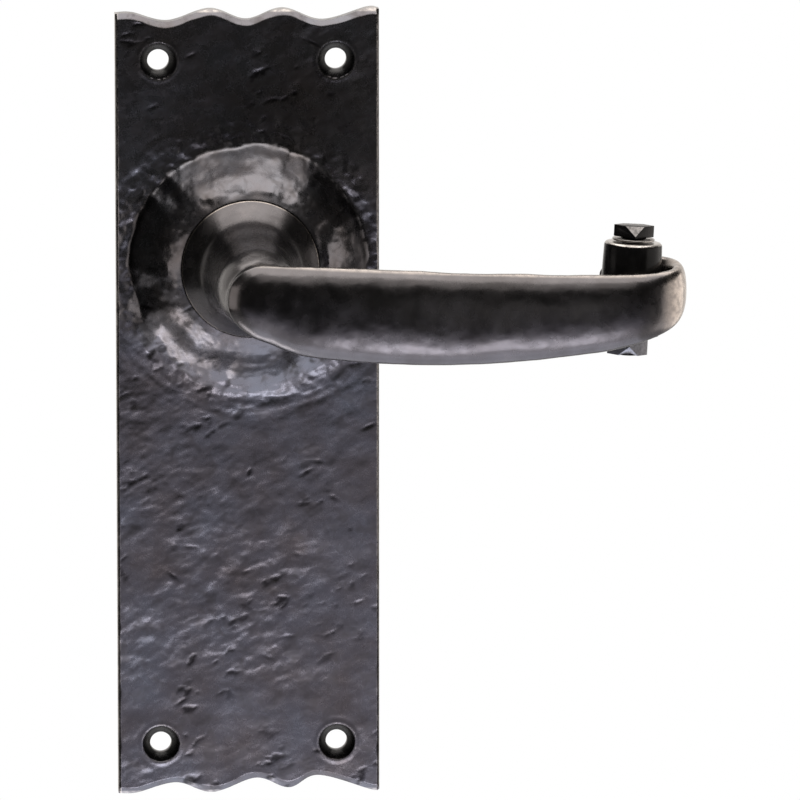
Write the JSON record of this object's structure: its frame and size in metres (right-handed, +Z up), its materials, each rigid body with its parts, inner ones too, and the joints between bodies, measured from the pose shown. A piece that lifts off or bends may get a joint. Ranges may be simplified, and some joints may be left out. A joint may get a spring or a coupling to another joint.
{
  "type": "lever latch handle",
  "caption": "Door or gate lever handle with a curled end and a faceted pin, on a long hammered backplate with scalloped ends; the lever turns down against a return spring",
  "frame": {"origin": "middle of the backplate's flat back, on the face of the door", "axes": "+Z up along the plate, +Y into the door along the spindle, +X towards the tip of the lever"},
  "size_m": [0.1063, 0.1201, 0.1534],
  "materials": {
    "hammered_iron": "hammered and pitted, waxed black, semi-gloss",
    "smooth_iron": "smoothed and waxed black, semi-gloss, worn lighter on the edges",
    "pin_iron": "black, satin",
    "zinc_steel": "zinc plated, satin",
    "spring_steel": "oiled spring steel",
    "bronze": "sintered bronze, matt",
    "nylon": "natural nylon, matt",
    "blackened_steel": "black oxide, satin"
  },
  "bodies": {
    "plate": {"backplate": "hammered_iron", "bearing_bush": "bronze", "thrust_washer": "nylon", "return_spring": "spring_steel", "stop_pin_rest": "zinc_steel", "stop_pin_travel": "zinc_steel", "cover_plate": "zinc_steel", "cover_screw_1": "zinc_steel", "cover_screw_2": "zinc_steel", "cover_screw_3": "zinc_steel"},
    "lever": {"lever_handle": "smooth_iron", "pin_sleeve": "pin_iron", "pin_bolt": "pin_iron", "pin_nut": "pin_iron", "pin_washer_top": "pin_iron", "pin_washer_bottom": "pin_iron", "spindle": "zinc_steel", "grub_screw": "blackened_steel", "wave_washer": "spring_steel", "driver_plate": "zinc_steel", "retaining_clip": "spring_steel"}
  },
  "joints": [
    {"name": "lever_turn", "type": "hinge", "parent": "plate", "child": "lever", "pos_m": [0, -0.014, 0.0278], "axis": [0, 1, 0], "range_deg": [0, 40], "stiffness_Nm_per_rad": 0.5, "springref_deg": -45.84, "deforming": ["return_spring"]}
  ]
}
